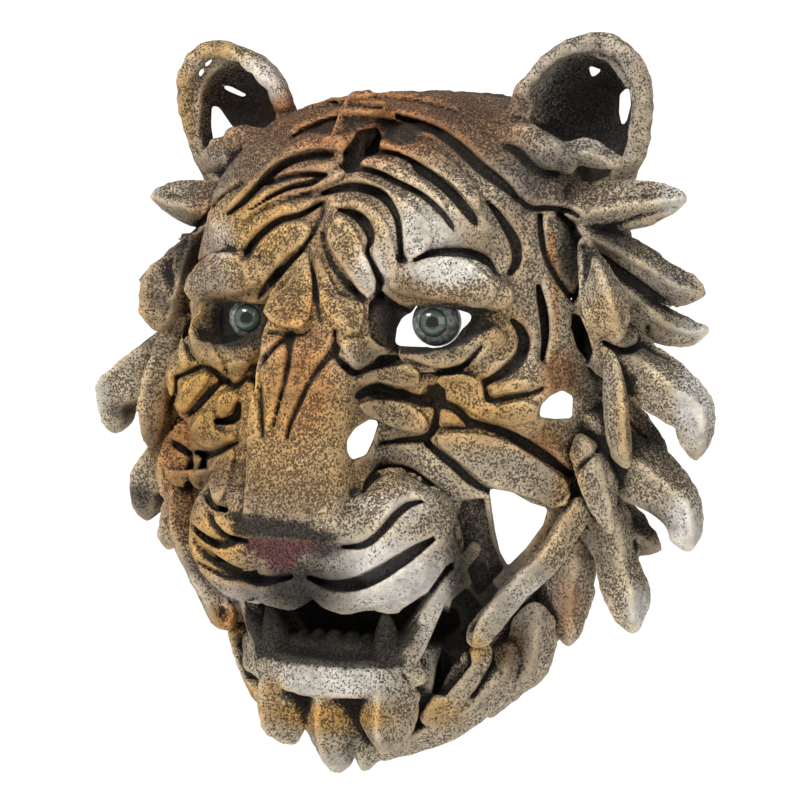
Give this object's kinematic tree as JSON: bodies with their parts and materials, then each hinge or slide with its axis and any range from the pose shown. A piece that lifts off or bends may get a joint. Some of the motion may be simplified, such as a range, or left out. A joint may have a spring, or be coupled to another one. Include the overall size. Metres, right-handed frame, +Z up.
{
  "type": "wall plaque",
  "caption": "Life-size openwork tiger head mask, cast hollow and open at the back, with carved stripes, a spiked cheek ruff, cup-shaped ears and glossy glass-like eyes, hung on a wall.",
  "frame": {"origin": "centre of the flat hanging face inside the crown's back rim, on the wall plane", "axes": "+Z up, +Y into the wall, the face looks along -Y and +X is the tiger's own left"},
  "size_m": [0.4231, 0.188, 0.4417],
  "materials": {
    "painted_casting": "rough pitted cast composite, painted ochre and red-brown over black with a dry-brushed off-white",
    "eye": "polished, grey-green iris with a black pupil"
  },
  "bodies": {
    "root": {"mask": "painted_casting", "eye_left": "eye", "eye_right": "eye"}
  },
  "joints": []
}
